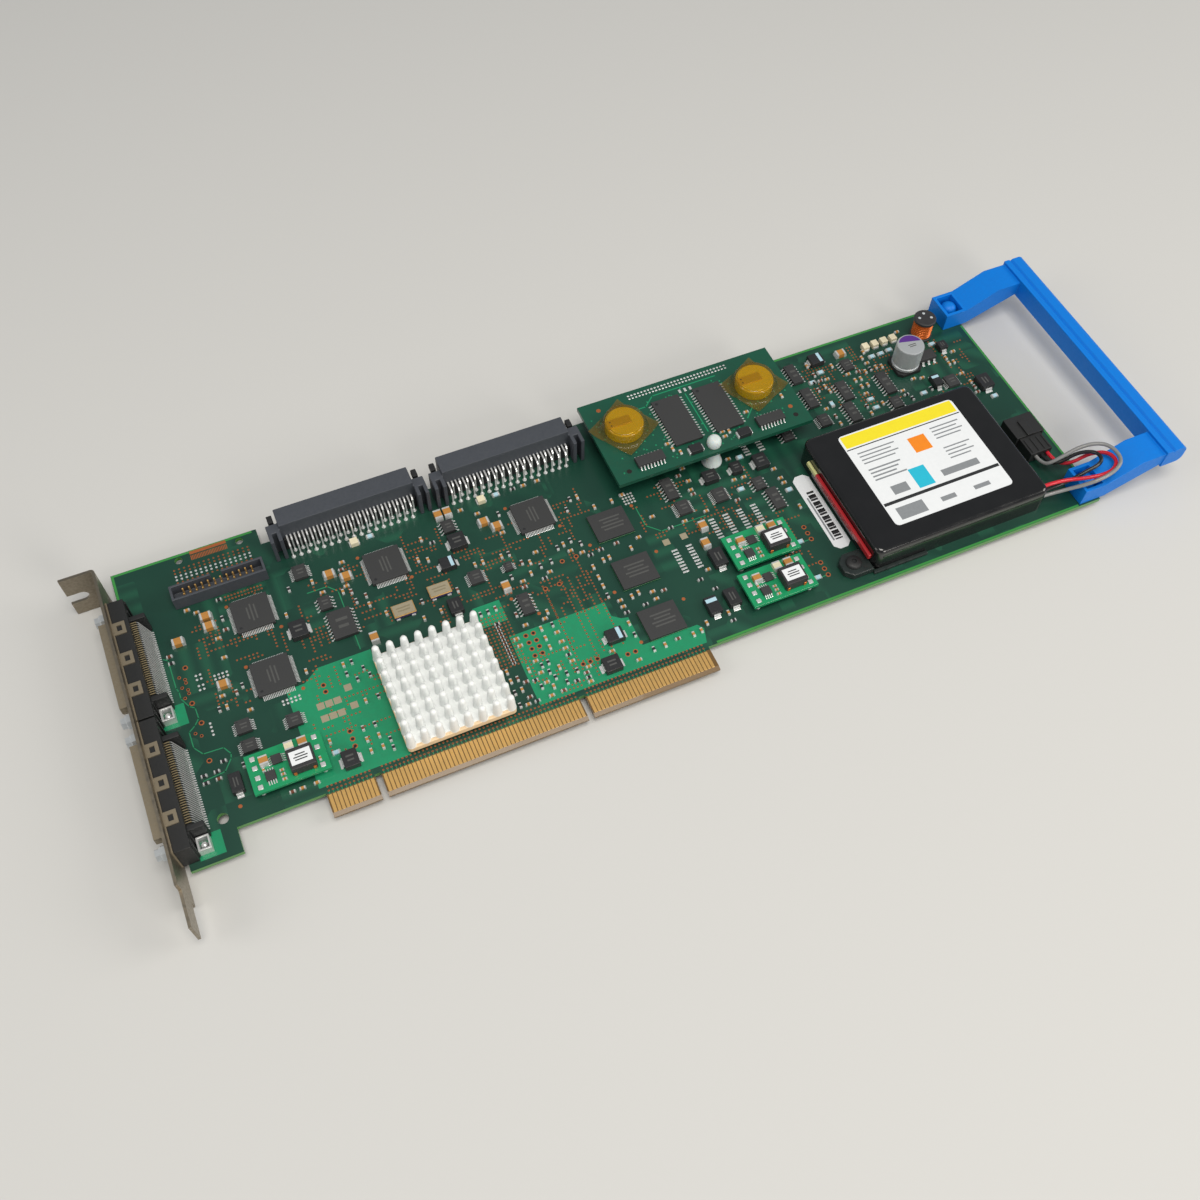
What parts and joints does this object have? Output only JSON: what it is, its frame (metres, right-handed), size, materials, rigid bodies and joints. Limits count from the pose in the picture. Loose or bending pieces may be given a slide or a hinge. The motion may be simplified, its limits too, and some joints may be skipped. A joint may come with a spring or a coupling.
{
  "type": "storage controller card",
  "caption": "Full-length expansion card with edge contacts, bracket, ribbon connectors, pin-fin heat sink, daughter card, battery pack and a blue pull handle.",
  "frame": {"origin": "below the middle of the card, on the surface that it lies on", "axes": "+X along the card towards the handle, +Y from the edge contacts to the top edge, +Z out of the component face"},
  "size_m": [0.3548, 0.1264, 0.0184],
  "materials": {
    "green_board": "glossy solder mask",
    "light_green_board": "glossy solder mask",
    "gold_plate": "gold plated",
    "zinc_steel": "zinc plated",
    "nickel_plate": "nickel plated",
    "tinned_lead": "tinned",
    "black_moulding": "moulded, matt",
    "blue_black_moulding": "moulded, satin",
    "white_nylon": "moulded",
    "chip_epoxy": "moulded epoxy",
    "brown_ceramic": "fired",
    "tan_ceramic": "fired",
    "cream_polymer": "moulded",
    "white_anodise": "matt anodised",
    "can_aluminium": "drawn",
    "ferrite": "varnished",
    "copper_wire": "enamelled copper",
    "amber_film": "clear amber film",
    "cell_steel": "nickel plated steel",
    "black_wrap": "glossy shrink wrap",
    "white_label": "printed",
    "smoke_plastic": "translucent",
    "red_insulation": "insulated wire",
    "handle_blue": "moulded, satin"
  },
  "bodies": {
    "root": {"circuit_board": "green_board", "edge_contacts": "gold_plate", "mounting_bracket": "zinc_steel", "jack_posts": "nickel_plate", "ground_clips": "tinned_lead", "lower_external_housing": "black_moulding", "upper_external_housing": "black_moulding", "lower_external_shell": "nickel_plate", "upper_external_shell": "nickel_plate", "lower_external_contacts": "gold_plate", "upper_external_contacts": "gold_plate", "left_ribbon_housing": "blue_black_moulding", "right_ribbon_housing": "blue_black_moulding", "left_ribbon_contacts": "tinned_lead", "right_ribbon_contacts": "tinned_lead", "header_housing": "black_moulding", "header_pins": "gold_plate", "heat_sink": "white_anodise", "processor": "chip_epoxy", "bus_controllers": "chip_epoxy", "memory_chips": "chip_epoxy", "outline_chips": "chip_epoxy", "tantalum_capacitors": "chip_epoxy", "ceramic_capacitors": "brown_ceramic", "chip_capacitors": "tan_ceramic", "oscillators": "gold_plate", "resettable_fuses": "cream_polymer", "module_boards": "light_green_board", "module_posts": "tinned_lead", "module_chokes": "ferrite", "module_chips": "chip_epoxy", "module_capacitors": "brown_ceramic", "daughter_board": "green_board", "mezzanine_header": "black_moulding", "board_spacer": "white_nylon", "buffer_memories": "chip_epoxy", "logic_chips": "chip_epoxy", "backup_cells": "cell_steel", "cell_tabs": "cell_steel", "cell_tapes": "amber_film", "battery_pack": "black_wrap", "battery_label": "white_label", "battery_foot": "smoke_plastic", "pack_lead": "red_insulation", "battery_socket": "black_moulding", "battery_plug": "black_moulding", "red_wire": "red_insulation", "stock_label": "white_label", "handle": "handle_blue", "snap_rivets": "handle_blue", "can_capacitor": "can_aluminium", "can_base": "black_moulding", "choke_drum": "ferrite", "choke_winding": "copper_wire"}
  },
  "joints": []
}
